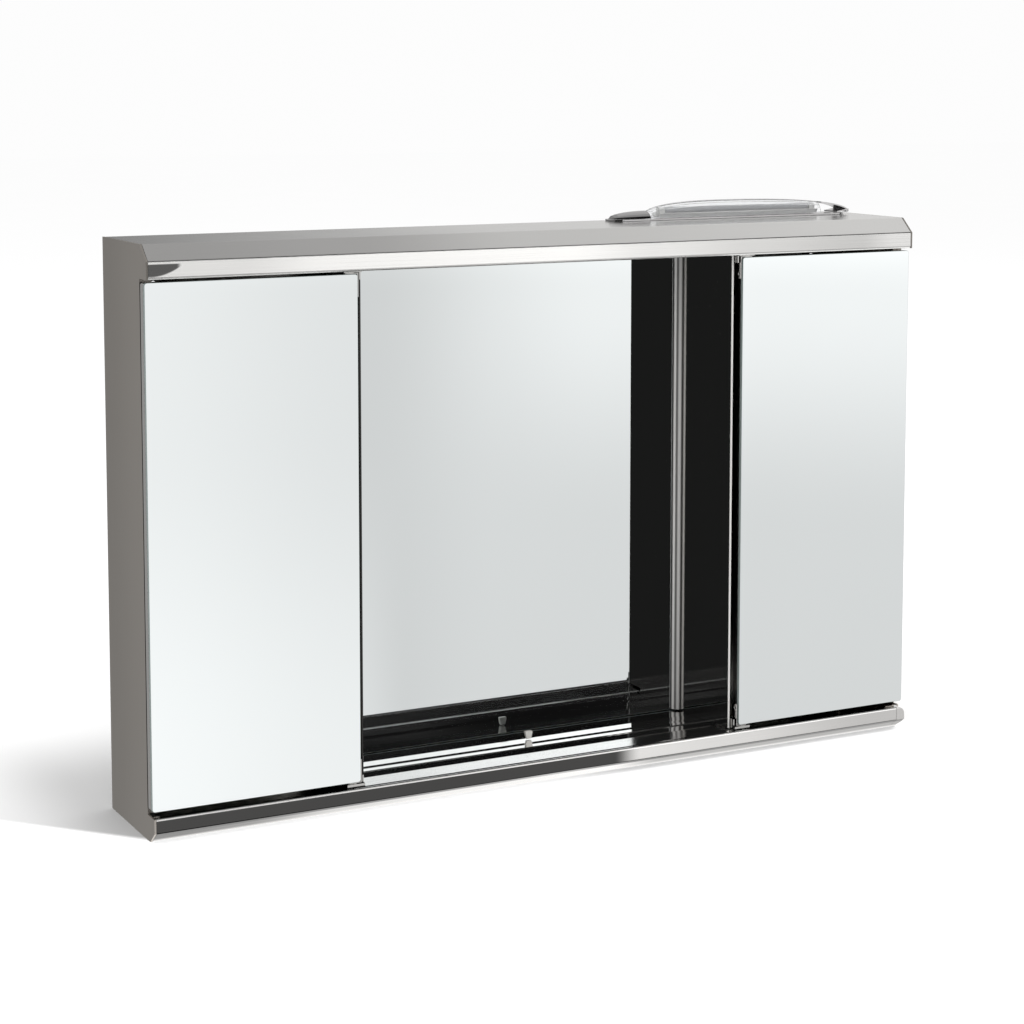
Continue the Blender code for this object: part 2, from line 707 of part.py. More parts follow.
def lamp_base(finish):
    middle = FRONT + LAMP_MIDDLE
    half = 12.5 * MM
    outline = rounded_rectangle((LAMP_LEFT, middle - half), (LAMP_RIGHT - 2 * MM, middle + half), 12 * MM, 8)
    base = prism("lamp_base", outline, "Z", HEIGHT + GAP, LAMP_FLOOR - GAP, finish)
    holes = [screw_hole(x, HEIGHT - 1 * MM, LAMP_FLOOR, finish) for x in lamp_screw_places()]
    return combined(base, holes, "DIFFERENCE")


def lamp_end_left(finish):
    """A low dome that closes the bow's left end, hollow enough underneath for the screw."""
    middle = FRONT + LAMP_MIDDLE
    start = LAMP_LEFT + 1 * MM
    end = COVER_LEFT - GAP
    stations = 10
    data = bmesh.new()
    tip = data.verts.new((start, middle, LAMP_FLOOR))
    rows = []
    for station in range(1, stations + 1):
        way = station / stations
        swell = sqrt(1 - (1 - way) ** 2)
        x = start + (end - start) * way
        rows.append([
            data.verts.new((x, middle + y, LAMP_FLOOR + z))
            for y, z in arch(LAMP_HALF_WIDTH * swell, 7 * MM * swell, 10)
        ])
    for row, following in zip(rows, rows[1:]):
        for index in range(len(row) - 1):
            data.faces.new((row[index], row[index + 1], following[index + 1], following[index]))
        data.faces.new((row[-1], row[0], following[0], following[-1]))
    for index in range(len(rows[0]) - 1):
        data.faces.new((tip, rows[0][index + 1], rows[0][index]))
    data.faces.new((tip, rows[0][0], rows[0][-1]))
    data.faces.new(rows[-1])
    dome = new_object("lamp_end_left", data, finish)
    dome.data.shade_smooth()
    dome.data.set_sharp_from_angle(angle=radians(50))
    pocket = screw_hole(lamp_screw_places()[0], LAMP_FLOOR - 1 * MM, LAMP_FLOOR + 2.4 * MM, finish)
    return combined(dome, [pocket], "DIFFERENCE")


def lamp_end_right(finish):
    """A bright strip that carries the bow's line on, curls down to the base and turns back under itself."""
    start = COVER_RIGHT + GAP
    stations = 14
    path = []
    for station in range(stations + 1):
        angle = pi / 2 * station / stations
        x = start + (LAMP_RIGHT - start) * sin(angle)
        path.append((x, LAMP_FLOOR + max(bow_height(x), 3.4 * MM)))
    low = LAMP_FLOOR + 0.1 * MM
    curl = 1.7 * MM
    for step in range(1, 7):
        angle = pi / 6 * step
        path.append((LAMP_RIGHT - curl + curl * cos(angle), low + curl - curl * sin(angle)))
    path.append((LAMP_RIGHT - 14 * MM, low))
    trimmed = [path[0]]
    for point in path[1:]:
        if (Vector(point) - Vector(trimmed[-1])).length > 0.35 * MM:
            trimmed.append(point)
    middle = FRONT + LAMP_MIDDLE
    made = prism("lamp_end_right", folded(trimmed[::-1], 1.2 * MM, 0), "Y", middle - LAMP_HALF_WIDTH,
                 middle + LAMP_HALF_WIDTH, finish)
    made.data.shade_smooth()
    made.data.set_sharp_from_angle(angle=radians(40))
    return made


def lamp_reflector(finish):
    """A shallow bright channel under the tube."""
    middle = FRONT + LAMP_MIDDLE
    path = [
        (middle + 7.6 * MM, LAMP_FLOOR + 3.8 * MM),
        (middle + 5.4 * MM, LAMP_FLOOR + 0.2 * MM),
        (middle - 5.4 * MM, LAMP_FLOOR + 0.2 * MM),
        (middle - 7.6 * MM, LAMP_FLOOR + 3.8 * MM),
    ]
    section = folded(path[::-1], 0.6 * MM, 0)
    return prism("lamp_reflector", section, "X", COVER_LEFT + 12 * MM, COVER_RIGHT - 2 * MM, finish)


TUBE_RADIUS = 2.8 * MM
TUBE_HEIGHT = LAMP_FLOOR + 6.6 * MM
TUBE_LEFT = COVER_LEFT + 20 * MM
TUBE_RIGHT = COVER_RIGHT - 9 * MM


def lamp_tube(finish):
    middle = FRONT + LAMP_MIDDLE
    profile = [
        (0, TUBE_LEFT),
        (2.2 * MM, TUBE_LEFT),
        (TUBE_RADIUS, TUBE_LEFT + 1.2 * MM),
        (TUBE_RADIUS, TUBE_RIGHT - 1.2 * MM),
        (2.2 * MM, TUBE_RIGHT),
        (0, TUBE_RIGHT),
    ]
    return turned("lamp_tube", profile, "X", (middle, TUBE_HEIGHT), finish, 20)


def lamp_holder(word, side, finish):
    """The socket at one end of the tube."""
    middle = FRONT + LAMP_MIDDLE
    near = TUBE_LEFT - GAP if side < 0 else TUBE_RIGHT + GAP
    far = near + side * 6 * MM
    low = (middle - 3.2 * MM, LAMP_FLOOR + 1.1 * MM)
    high = (middle + 3.2 * MM, TUBE_HEIGHT + 2.2 * MM)
    outline = rounded_rectangle(low, high, 1.5 * MM)
    return prism("lamp_holder_" + word, outline, "X", min(near, far), max(near, far), finish)


def lamp_screw(word, place, finish):
    """A pan-head screw that comes up through the top panel into the lamp's base."""
    head = HEIGHT - SHEET - GAP
    profile = [
        (0, head - 2.2 * MM),
        (3.2 * MM, head - 1.9 * MM),
        (3.9 * MM, head - 0.8 * MM),
        (3.9 * MM, head),
        (2 * MM, head),
        (2 * MM, LAMP_FLOOR - GAP),
        (0, LAMP_FLOOR - GAP),
    ]
    return turned("lamp_screw_" + word, profile, "Z", (place, FRONT + LAMP_MIDDLE), finish, 16)


# ---- switch ----
SWITCH_X = 280 * MM
SWITCH_Z = 462 * MM
SWITCH_FRONT = FRONT + 78 * MM
ROCKER_RADIUS = 7 * MM
ROCKER_HALF = 10 * MM


def gland_place():
    return SWITCH_X, SWITCH_Z


def switch_box(finish):
    """The lamp's plastic connection box on the back panel, open behind, with a window for the rocker."""
    outline = rounded_rectangle(
        (SWITCH_X - 27 * MM, SWITCH_Z - 20 * MM), (SWITCH_X + 27 * MM, SWITCH_Z + 20 * MM), 3 * MM)
    box = prism("switch_box", outline, "Y", SWITCH_FRONT, MIRROR_BACK, finish)
    inner = rounded_rectangle(
        (SWITCH_X - 25.4 * MM, SWITCH_Z - 18.4 * MM), (SWITCH_X + 25.4 * MM, SWITCH_Z + 18.4 * MM), 1.6 * MM)
    room = prism("room", inner, "Y", SWITCH_FRONT + 1.6 * MM, BACK, finish)
    window = block(
        "window",
        (SWITCH_X - ROCKER_HALF - 0.4 * MM, SWITCH_FRONT - 1 * MM, SWITCH_Z - 7.4 * MM),
        (SWITCH_X + ROCKER_HALF + 0.4 * MM, SWITCH_FRONT + 3 * MM, SWITCH_Z + 7.4 * MM),
        finish,
    )
    return combined(box, [room, window], "DIFFERENCE")


def switch_rocker(finish):
    """The rocker, at rest in its off position: its lower half stands out. It turns on its own cylinder's axis."""
    centre = (SWITCH_FRONT + 4 * MM, SWITCH_Z)
    tilt = radians(8)
    outline = []
    for step in range(17):
        angle = radians(-128 + 16 * step) + tilt
        outline.append((centre[0] + ROCKER_RADIUS * cos(angle), centre[1] + ROCKER_RADIUS * sin(angle)))
    outline.append((centre[0] - 4.6 * MM * cos(tilt), centre[1] - 4.6 * MM * sin(tilt)))
    origin = (SWITCH_X, centre[0], centre[1])
    return prism("switch_rocker", outline, "X", SWITCH_X - ROCKER_HALF, SWITCH_X + ROCKER_HALF, finish, origin)


def cable_gland(finish):
    """A rubber grommet in the back panel, where the supply cable comes in."""
    back = BACK_SHEET_FRONT
    profile = [
        (3.2 * MM, back - 1.8 * MM),
        (7.6 * MM, back - 1.8 * MM),
        (8.2 * MM, back - GAP),
        (5.7 * MM, back - GAP),
        (5.7 * MM, back + 1.3 * MM),
        (8.2 * MM, back + 1.3 * MM),
        (7.6 * MM, back + 2.8 * MM),
        (3.2 * MM, back + 2.8 * MM),
    ]
    return turned("cable_gland", profile, "Y", gland_place(), finish)


def main():
    for existing in list(bpy.data.objects):
        bpy.data.objects.remove(existing)
    finishes = {
        "brushed": material("brushed steel", (0.62, 0.61, 0.59), 0.34, 1),
        "polished": material("polished steel", (0.75, 0.75, 0.75), 0.06, 1),
        "bright": material("bright plated steel", (0.8, 0.8, 0.8), 0.12, 1),
        "mirror": material("silvered mirror", (0.9, 0.93, 0.93), 0.02, 1),
        "nylon": material("white nylon", (0.85, 0.85, 0.82), 0.5),
        "rubber": material("dark rubber", (0.05, 0.05, 0.05), 0.8),
        "magnet": material("ferrite magnet", (0.12, 0.12, 0.13), 0.5, 0.5),
        "clear": material("clear acrylic", (0.95, 0.96, 0.97), 0.05, 0, 0.35),
        "tube": material("frosted lamp glass", (0.95, 0.95, 0.93), 0.3),
        "plastic": material("white plastic", (0.88, 0.88, 0.86), 0.35),
    }
    top_panel(finishes["brushed"])
    bottom_panel(finishes["brushed"])
    rail_end_cap(finishes["brushed"])
    back_panel(finishes["brushed"])
    niche_floor(finishes["polished"])
    niche_mirror(finishes["mirror"])
    mirror_clip(finishes["nylon"])
    for word, side in SIDES:
        side_panel(word, side, finishes["brushed"])
        divider(word, side, finishes["polished"])
        corner_bead(word, side, finishes["bright"])
        hanger_plate(word, side, finishes["bright"])
        for level, height in zip(("lower", "upper"), SHELF_HEIGHTS):
            shelf(word, side, level, height, finishes["brushed"])
        door(word, side, finishes)
        catch_housing(word, side, finishes["plastic"])
        catch_magnet(word, side, finishes["magnet"])
        for end in ("top", "bottom"):
            pivot_bracket(word, side, end, finishes["bright"])
            pivot_bush(word, side, end, finishes["nylon"])
            door_bumper(word, side, end, finishes["rubber"])
    lamp_base(finishes["bright"])
    lamp_reflector(finishes["bright"])
    lamp_tube(finishes["tube"])
    lamp_cover(finishes["clear"])
    lamp_end_left(finishes["bright"])
    lamp_end_right(finishes["bright"])
    for (word, side), place in zip(SIDES, lamp_screw_places()):
        lamp_holder(word, side, finishes["plastic"])
        lamp_screw(word, place, finishes["bright"])
    switch_box(finishes["plastic"])
    switch_rocker(finishes["plastic"])
    cable_gland(finishes["rubber"])


main()
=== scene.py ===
# %% [markdown]
# # A mirrored medicine cabinet in stainless steel
#
# This lesson dresses a finished model of a wall cabinet: folded steel rails, two mirrored doors, an open
# niche whose back and walls are mirrors, and a bow lamp on top. The shapes are already made. What is left is
# what they are made of, and the room that they reflect, because a mirror has almost no look of its own.
#
# Lengths are in metres. X runs along the front, Y goes from the front to the wall and Z goes up.

# %% Load the cabinet
from math import cos, pi, radians, sin

import bmesh
import bpy
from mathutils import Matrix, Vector


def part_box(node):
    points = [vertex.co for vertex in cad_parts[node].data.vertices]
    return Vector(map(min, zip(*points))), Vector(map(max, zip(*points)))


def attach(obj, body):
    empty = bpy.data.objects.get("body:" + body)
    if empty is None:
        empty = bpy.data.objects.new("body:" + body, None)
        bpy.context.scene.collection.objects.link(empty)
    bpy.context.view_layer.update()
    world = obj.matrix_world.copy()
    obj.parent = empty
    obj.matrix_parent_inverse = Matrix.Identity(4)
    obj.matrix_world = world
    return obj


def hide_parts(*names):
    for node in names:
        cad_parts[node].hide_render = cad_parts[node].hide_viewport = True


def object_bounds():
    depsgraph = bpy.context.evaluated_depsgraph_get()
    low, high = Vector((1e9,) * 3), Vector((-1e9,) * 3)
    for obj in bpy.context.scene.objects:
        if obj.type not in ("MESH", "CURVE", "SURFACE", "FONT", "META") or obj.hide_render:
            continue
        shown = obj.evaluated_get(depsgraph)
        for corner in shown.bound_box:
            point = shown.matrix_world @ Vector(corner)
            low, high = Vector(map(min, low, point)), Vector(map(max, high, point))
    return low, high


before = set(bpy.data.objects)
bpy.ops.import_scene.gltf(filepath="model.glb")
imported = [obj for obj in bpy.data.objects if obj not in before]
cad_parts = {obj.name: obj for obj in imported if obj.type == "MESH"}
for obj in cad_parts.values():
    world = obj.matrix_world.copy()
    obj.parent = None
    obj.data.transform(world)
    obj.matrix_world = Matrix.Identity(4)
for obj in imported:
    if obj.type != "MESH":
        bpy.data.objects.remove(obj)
MM = 0.001
size_at_start = [list(corner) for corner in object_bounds()]
print("pieces:", len(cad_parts), " size:", [round(b - a, 4) for a, b in zip(*size_at_start)])

# %% [markdown]
# ## A small language for materials
#
# Every finish below is maths on positions and noise. Written as nodes and links, that is unreadable, so a
# wrapper round one output makes + - * / build the node for us. A finish is a Principled shader, its
# constants, and whatever varies over the surface.


# %% Wires and finishes
class Wire:
    """One output in a material, which ordinary arithmetic works on."""

    def __init__(self, finish, socket):
        self.finish = finish
        self.socket = socket

    def __add__(self, other):
        return self.finish.maths("ADD", self, other)

    def __sub__(self, other):
        return self.finish.maths("SUBTRACT", self, other)

    def __mul__(self, other):
        return self.finish.maths("MULTIPLY", self, other)

    def __truediv__(self, other):
        return self.finish.maths("DIVIDE", self, other)

    def __pow__(self, other):
        return self.finish.maths("POWER", self, other)

    def __rsub__(self, other):
        return self.finish.maths("SUBTRACT", other, self)

    def __rtruediv__(self, other):
        return self.finish.maths("DIVIDE", other, self)

    __radd__ = __add__
    __rmul__ = __mul__


class Finish:
    """A material with one Principled shader. Constants are set on it, and wires feed what varies."""

    def __init__(self, name, constants):
        self.material = bpy.data.materials.new(name)
        self.material.use_nodes = True
        self.tree = self.material.node_tree
        self.shader = self.tree.nodes["Principled BSDF"]
        for label, value in constants.items():
            self.shader.inputs[label].default_value = value

    def feed(self, socket, value):
        if isinstance(value, Wire):
            self.tree.links.new(value.socket, socket)
        else:
            socket.default_value = value

    def node(self, kind, settings=None, values=None, output=0):
        """One node of any other type, with its settings and what goes into its sockets."""
        made = self.tree.nodes.new("ShaderNode" + kind)
        for name, value in (settings or {}).items():
            setattr(made, name, value)
        for key, value in (values or {}).items():
            self.feed(made.inputs[key], value)
        return Wire(self, made.outputs[output])

    def maths(self, operation, first, second=0.0, third=0.0):
        return self.node("Math", {"operation": operation}, {0: first, 1: second, 2: third})

    def drive(self, label, value):
        self.feed(self.shader.inputs[label], value)

    def ramp(self, value, low, high, start=0.0, end=1.0):
        """A smooth step from start to end while the value goes from low to high."""
        sockets = {"Value": value, "From Min": low, "From Max": high, "To Min": start, "To Max": end}
        return self.node("MapRange", {"interpolation_type": "SMOOTHSTEP"}, sockets)

    def band(self, value, low, high, soft):
        """1 between low and high, 0 outside, with soft edges."""
        return self.ramp(value, low - soft, low + soft) * self.ramp(value, high - soft, high + soft, 1.0, 0.0)

    def place(self):
        """The position on the object, and its three coordinates."""
        point = self.node("TexCoord", output=3)
        apart = self.node("SeparateXYZ", values={0: point}).socket.node
        return point, [Wire(self, output) for output in apart.outputs]

    def noise(self, point, stretch, scale, detail=3.0, roughness=0.5):
        """Noise between 0 and 1, drawn out along an axis by a small number in stretch."""
        spread = self.node("VectorMath", {"operation": "MULTIPLY"}, {0: point, 1: stretch})
        sockets = {"Vector": spread, "Scale": scale, "Detail": detail, "Roughness": roughness}
        return self.node("TexNoise", values=sockets)

    def blend(self, factor, first, second):
        """Two colours mixed by a factor."""
        return self.node("Mix", {"data_type": "RGBA"}, {0: factor, 6: first, 7: second}, 2)

    def scaled(self, colour, amount):
        """A colour made lighter or darker."""
        return self.node("VectorMath", {"operation": "SCALE"}, {0: colour, 3: amount})

    def bump(self, height, strength, distance):
        sockets = {"Height": height, "Strength": strength, "Distance": distance}
        self.drive("Normal", self.node("Bump", values=sockets))


def dress(finish, slot, *nodes):
    """Gives CAD pieces a finish. The slot is not used."""
    for name in nodes:
        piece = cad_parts[name]
        piece.data.materials.clear()
        piece.data.materials.append(finish.material)
    print(finish.material.name, "->", ", ".join(nodes))


# %% [markdown]
# ## Brushed steel
#
# The casing is sheet with a satin grain. Rolling and brushing leave hairlines along the length of the sheet:
# noise that is drawn out along one axis changes the roughness a little, and tilts the surface a very little.
# Wide, faint clouds stand for handling marks. The end plates are brushed upright, the rails lengthwise.


# %% The brushed finishes
def facing(finish, axis):
    """How far the surface faces along an axis, from -1 to 1."""
    direction = finish.node("SeparateXYZ", values={0: finish.node("NewGeometry", output=1)}).socket.node
    return Wire(finish, direction.outputs["XYZ".index(axis)])


def brushed(name, tone, roughness, grain, strength=0.12):
    """Satin sheet whose hairlines run along the axis where grain is small."""
    finish = Finish(name, {"Metallic": 1.0})
    point, (x, y, z) = finish.place()
    hairlines = finish.noise(point, grain, 900.0, 2.0)
    clouds = finish.noise(point, (1, 1, 1), 14.0, 4.0)
    finish.drive("Roughness", roughness + (hairlines - 0.5) * 0.12 + (clouds - 0.5) * 0.1)
    finish.bump(hairlines, strength, 0.0002)
    shade = 0.96 + hairlines * 0.05 + clouds * 0.06
    return finish, (x, y, z), shade, tone


def finished(parts, factor=None):
    """Closes a brushed finish: its tone times the grain, and times a factor where one is wanted."""
    finish, _, shade, tone = parts
    finish.drive("Base Color", finish.scaled(tone, shade if factor is None else shade * factor))
    return finish


ALONG_X = (0.01, 1, 1)
UPRIGHT = (1, 1, 0.01)
plate_parts = brushed("brushed end plate", (0.585, 0.548, 0.505), 0.34, UPRIGHT)
plate, (_, plate_y, plate_z) = plate_parts[0], plate_parts[1]
# Painted shade on the end plates: they are darker towards the back, and their front edge above the lower rail
# carries a painted dark reflection.
edge_dark_reflection = plate.ramp(facing(plate, "Y"), -0.5, -0.8) * plate.ramp(plate_z, 0.022, 0.03)
plate_steel = finished(plate_parts, plate.ramp(plate_y, 0.057, -0.045, 0.86, 1.02) * (1.0 - edge_dark_reflection * 0.6))
inner_steel = finished(brushed("brushed inner sheet", (0.6, 0.59, 0.57), 0.3, ALONG_X))
dress(plate_steel, "brushed_steel", "side_panel_left", "side_panel_right")
dress(inner_steel, "brushed_steel", "back_panel", "door_lining_left", "door_lining_right",
      "shelf_left_lower", "shelf_left_upper", "shelf_right_lower", "shelf_right_upper")

# %% [markdown]
# On a real rail the bright and dark stretches are reflections of the room. Here they are part of the finish,
# so that they can be placed: each face gets its own row of brightness from left to right. A row is a short
# list of places and levels, joined by smooth steps. The face is picked by which way it looks and how high it
# is. The price is that the stretches stay where they are when the view turns.


# %% A row of brightness along a rail
def along(finish, x, places):
    """Goes smoothly through (x, level) places."""
    (start, level), *rest = places
    total = level
    for end, following in rest:
        total = finish.ramp(x, start, end, 0.0, following - level) + total
        start, level = end, following
    return total


# %% The top rail
top_parts = brushed("brushed top rail", (0.93, 0.925, 0.915), 0.2, ALONG_X)
rail, (rail_x, rail_y, rail_z) = top_parts[0], top_parts[1]
front = rail.ramp(rail_y, -0.0566, -0.0569)
# Painted reflections: a row along the slope, a row along the front band, and a dark wedge at the left end of
# the band.
slope = rail.ramp(facing(rail, "Z"), 0.3, 0.6)
slope_reflection = along(rail, rail_x, ((-0.36, 0.5), (-0.2, 0.56), (-0.02, 0.8), (0.36, 0.93)))
band_row = ((-0.3, 0.84), (-0.22, 1.0), (0.0, 1.0), (0.1, 0.8), (0.2, 0.68), (0.32, 0.59), (0.36, 0.74))
band = along(rail, rail_x, band_row)
wedge_way = rail.maths("MAXIMUM", (rail_x + 0.376) / 0.025, 0.0)
wedge_low = 0.4706 + wedge_way ** 2 * 0.0078
wedge = front * rail.ramp(rail_z - wedge_low, -0.0008, 0.0008) * rail.ramp(rail_z, 0.4814, 0.4804)
wedge = wedge * rail.ramp(rail_x, -0.349, -0.354)
top_tone = (1.0 - slope * (1.0 - slope_reflection)) * (1.0 - front * (1.0 - band)) * (1.0 - wedge * 0.86)
dress(finished(top_parts, top_tone), "brushed_steel", "top_panel")

# %% [markdown]
# The lip of the lower rail carries a painted reflection: dark at the left, and bright past the middle. The
# slanting foot below has painted reflections too: brightest near the middle, a darker row along its top,
# and a fade to white at the floor.

# %% The lower rail
low_parts = brushed("brushed lower rail", (0.93, 0.92, 0.91), 0.13, ALONG_X)
lip, (lip_x, lip_y, lip_z) = low_parts[0], low_parts[1]
face = lip.band(lip_z, 0.0085, 0.0205, 0.0004) * lip.ramp(lip_y, -0.0568, -0.0564, 1.0, 0.0)
lip_reflection = along(lip, lip_x, ((-0.36, 0.075), (0.056, 0.085), (0.085, 1.0), (0.2, 1.0), (0.34, 0.8)))
foot = lip.ramp(facing(lip, "Z"), -0.3, -0.5)
foot_top = ((-0.3, 0.17), (-0.2, 0.2), (-0.08, 0.28), (0.0, 0.48), (0.06, 0.22), (0.1, 0.13), (0.2, 0.17))
foot_middle = ((-0.36, 0.19), (-0.3, 0.27), (-0.2, 0.7), (-0.1, 0.9), (0.05, 1.0), (0.11, 0.44), (0.3, 0.35))
top_row, middle_row = along(lip, lip_x, foot_top), along(lip, lip_x, foot_middle)
foot_tone = middle_row + (top_row - middle_row) * lip.ramp(lip_z, 0.0065, 0.0078)
foot_tone = foot_tone + (1.0 - foot_tone) * lip.ramp(lip_z, 0.0038, -0.0004)
low_tone = (1.0 - face * (1.0 - lip_reflection)) * (1.0 - foot * (1.0 - foot_tone))
dress(finished(low_parts, low_tone), "brushed_steel", "bottom_panel", "rail_end_cap")

# %% [markdown]
# ## Polished and plated steel
#
# The niche walls, its floor and the small fittings are bright enough to show clear reflections. Polishing
# leaves long, shallow waves, so a slow noise bends the reflection slightly. Plated fittings are sharper.


# %% The bright finishes
def bright(name, tone, roughness, wave, grain=(1, 1, 0.15), metallic=1.0, extra=None):
    """Polished or plated metal. Extra is a function of the finish that gives a factor on its tone."""
    finish = Finish(name, {"Metallic": metallic})
    point, _ = finish.place()
    slow = finish.noise(point, grain, 22.0, 2.0)
    fine = finish.noise(point, grain, 420.0, 2.0)
    shade = 0.95 + slow * 0.08
    if extra is not None:
        shade = shade * extra(finish)
    finish.drive("Roughness", roughness + fine * roughness * 0.8)
    finish.drive("Base Color", finish.scaled(tone, shade))
    finish.bump(slow, wave, 0.0004)
    return finish


hem_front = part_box("divider_left")[0].y


def hem_dark_reflection(finish):
    """The folded front edge of the left wall is painted dark: a painted dark reflection."""
    return finish.ramp(finish.place()[1][1], hem_front + 7 * MM, hem_front + 8 * MM, 0.12, 1.0)


def hem_highlight(finish):
    """The very edge of the right wall has a painted highlight: its tone is lighter, and it is less metallic,
    so it also scatters light.
    """
    hem = finish.ramp(finish.place()[1][1], hem_front + 1.3 * MM, hem_front + 0.9 * MM)
    finish.drive("Metallic", 1.0 - hem * 0.7)
    return 1.0 + hem * 0.38


def bead_highlights(finish):
    """Two painted highlights along a quarter-round bead, told apart by the direction from its corner; the
    rest of the bead is darker.
    """
    x, y = finish.place()[1][:2]
    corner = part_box("corner_bead_right")[1]
    inwards = corner.x - finish.maths("ABSOLUTE", x)
    forwards = corner.y - y
    turn = forwards / (inwards + forwards + 0.1 * MM)
    return 0.22 + 0.9 * (finish.band(turn, 0.16, 0.4, 0.05) + finish.band(turn, 0.58, 0.84, 0.05) * 0.7)


wall_left = bright("polished left niche wall", (0.72, 0.71, 0.69), 0.03, 0.04, extra=hem_dark_reflection)
wall_right = bright("polished right niche wall", (0.72, 0.71, 0.69), 0.03, 0.04, extra=hem_highlight)
floor_steel = bright("polished niche floor", (0.95, 0.945, 0.935), 0.04, 0.03, (0.05, 1, 1))
plated = bright("bright plate", (0.55, 0.545, 0.535), 0.07, 0.05)
lamp_plate = bright("plated lamp end", (0.48, 0.475, 0.48), 0.09, 0.1, (0.1, 1, 1))
white_steel = bright("white lamp reflector", (0.93, 0.93, 0.92), 0.25, 0.03, metallic=0.0)
bead_steel = bright("plated corner bead", (0.95, 0.94, 0.92), 0.12, 0.05, metallic=0.3, extra=bead_highlights)
pan_steel = bright("bright door pan", (0.75, 0.745, 0.735), 0.12, 0.05)
dress(wall_left, "polished_steel", "divider_left")
dress(wall_right, "polished_steel", "divider_right")
dress(floor_steel, "polished_steel", "niche_floor")
dress(bead_steel, "bright_steel", "corner_bead_left", "corner_bead_right")
dress(pan_steel, "brushed_steel", "door_pan_left", "door_pan_right")
fittings = [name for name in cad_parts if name.startswith(
    ("hinge_plate", "pivot_bracket", "hanger_plate", "strike_plate", "lamp_screw"))]
dress(plated, "bright_steel", *fittings)
dress(lamp_plate, "bright_steel", "lamp_base", "lamp_end_left", "lamp_end_right")
dress(white_steel, "bright_steel", "lamp_reflector")

# %% [markdown]
# ## Mirrors
#
# A silvered pane is a nearly perfect metal seen through green-blue float glass, so its colour leans that way.
# The silvering sits on the back, and the ground edge scatters light: it shows as a thin pale outline. So the
# three panes are made again here with a narrow ground bevel all round, in the places of the plain ones.


# %% The mirror finish and its panes
def mirror_finish(name, level):
    finish = Finish(name, {"Metallic": 1.0})
    point, _ = finish.place()
    haze = finish.noise(point, (1, 1, 0.4), 6.0, 3.0)
    finish.drive("Base Color", finish.scaled((0.935, 0.972, 0.982), level + haze * 0.02))
    finish.drive("Roughness", finish.ramp(haze, 0.4, 0.75, 0.004, 0.02))
    return finish


def edge_finish():
    finish = Finish("ground glass edge", {"Coat Weight": 0.3})
    point, _ = finish.place()
    grind = finish.noise(point, (1, 1, 1), 900.0, 2.0)
    finish.drive("Base Color", finish.blend(grind, (0.16, 0.19, 0.185, 1), (0.3, 0.35, 0.34, 1)))
    finish.drive("Roughness", 0.28 + grind * 0.2)
    finish.bump(grind, 0.15, 0.0001)
    return finish


def in_order(data):
    """Points and faces listed by place, because a bevel lists its new ones in no fixed order."""
    points = sorted({vertex.co.to_tuple(7) for vertex in data.verts})
    number = {point: index for index, point in enumerate(points)}
    faces = []
    for face in data.faces:
        ring = [number[vertex.co.to_tuple(7)] for vertex in face.verts]
        first = ring.index(min(ring))
        faces.append(ring[first:] + ring[:first])
    return points, sorted(faces)


def pane(node, bevel, finishes):
    """A mirror pane in a CAD piece's place, with a ground bevel. Door panes also get rounded corners."""
    low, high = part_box(node)
    data = bmesh.new()
    bmesh.ops.create_cube(data, size=1)
    bmesh.ops.scale(data, vec=high - low, verts=data.verts)
    bmesh.ops.translate(data, vec=(low + high) / 2, verts=data.verts)
    corners = [e for e in data.edges if abs((e.verts[0].co - e.verts[1].co).y) > 1e-6]
    if "door" in node:
        bmesh.ops.bevel(data, geom=corners, offset=2.4 * MM, segments=6, profile=0.5, affect="EDGES")
    middle = (low.y + high.y) / 2
    level = [e for e in data.edges if abs(e.verts[0].co.y - e.verts[1].co.y) < 1e-7]
    rim = [e for e in level if e.verts[0].co.y < middle]
    bmesh.ops.bevel(data, geom=rim, offset=bevel, segments=2, profile=0.5, affect="EDGES")
    points, faces = in_order(data)
    data.free()
    mesh = bpy.data.meshes.new(node + "_pane")
    mesh.from_pydata(points, [], faces)
    for face in mesh.polygons:
        face.material_index = 0 if face.normal.y < -0.999 else 1
    made = bpy.data.objects.new(node + "_pane", mesh)
    bpy.context.scene.collection.objects.link(made)
    for finish in finishes:
        mesh.materials.append(finish.material)
    return made


silvered = mirror_finish("silvered door glass", 0.985)
# The niche pane is set darker than the door panes.
deep = mirror_finish("silvered niche glass", 0.83)
ground = edge_finish()
PANES = (
    ("door_mirror_left", "left_door", 0.35 * MM, silvered),
    ("door_mirror_right", "right_door", 0.35 * MM, silvered),
    ("niche_mirror", "cabinet", 0.5 * MM, deep),
)
for node, body, bevel, silver in PANES:
    glass = pane(node, bevel, (silver, ground))
    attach(glass, body)
    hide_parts(node)
    print(glass.name, "rides on", body)

# %% [markdown]
# ## Plastic, rubber and the lamp
#
# The catches, bushes and lamp holders are moulded. Moulding leaves a fine, dull texture. The lamp's bow is
# clear acrylic, which is mostly seen by the light that it bends, and the tube inside it is frosted.


# %% Moulded and clear finishes
def moulded(name, colour, roughness):
    finish = Finish(name, {})
    point, _ = finish.place()
    grain = finish.noise(point, (1, 1, 1), 700.0, 2.0)
    finish.drive("Base Color", finish.scaled(colour, 0.94 + grain * 0.1))
    finish.drive("Roughness", roughness + (grain - 0.5) * 0.15)
    finish.bump(grain, 0.2, 0.0001)
    return finish


def clear_finish():
    finish = Finish("clear acrylic", {"Transmission Weight": 1.0, "IOR": 1.49})
    point, _ = finish.place()
    draw = finish.noise(point, (0.02, 1, 1), 260.0, 2.0)
    clean = finish.blend(draw, (0.93, 0.94, 0.95, 1), (1, 1, 1, 1))
    # The crown of the bow is tinted grey where it faces up: a painted dark reflection along its top.
    crown_reflection = finish.ramp(facing(finish, "Z"), 0.93, 0.985, 0.0, 0.35)
    finish.drive("Base Color", finish.blend(crown_reflection, clean, (0.55, 0.55, 0.57, 1)))
    finish.drive("Roughness", 0.01 + draw * 0.03)
    finish.bump(draw, 0.15, 0.0002)
    return finish


